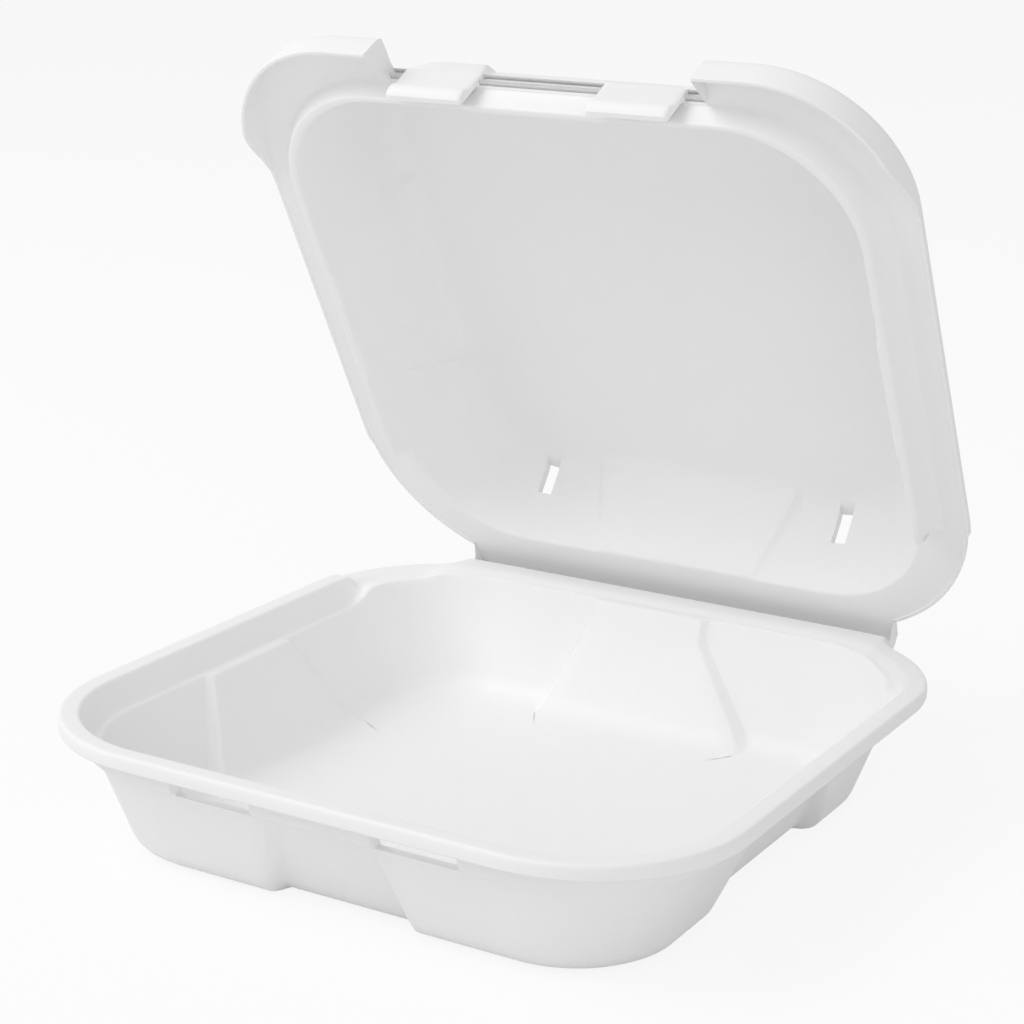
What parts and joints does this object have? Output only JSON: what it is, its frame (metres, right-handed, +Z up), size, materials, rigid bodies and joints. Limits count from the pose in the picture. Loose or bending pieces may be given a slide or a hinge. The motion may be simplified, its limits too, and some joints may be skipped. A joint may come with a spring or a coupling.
{
  "type": "foam clamshell container",
  "caption": "Hinged square takeaway container in white foam, its lid standing open over the tray, with front locking tabs and back vents.",
  "frame": {"origin": "centre of the tray's flat underside", "axes": "+Z up, +Y towards the hinge at the back, +X along the hinge"},
  "size_m": [0.2384, 0.2566, 0.2483],
  "materials": {
    "foam": "matte white expanded foam with a fine skin"
  },
  "bodies": {
    "tray": {"tray": "foam"},
    "lid": {"lid": "foam"}
  },
  "joints": [
    {"name": "lid_hinge", "type": "hinge", "parent": "tray", "child": "lid", "pos_m": [0, 0.1185, 0.036], "axis": [-1, 0, 0], "range_deg": [-61, 106]}
  ]
}
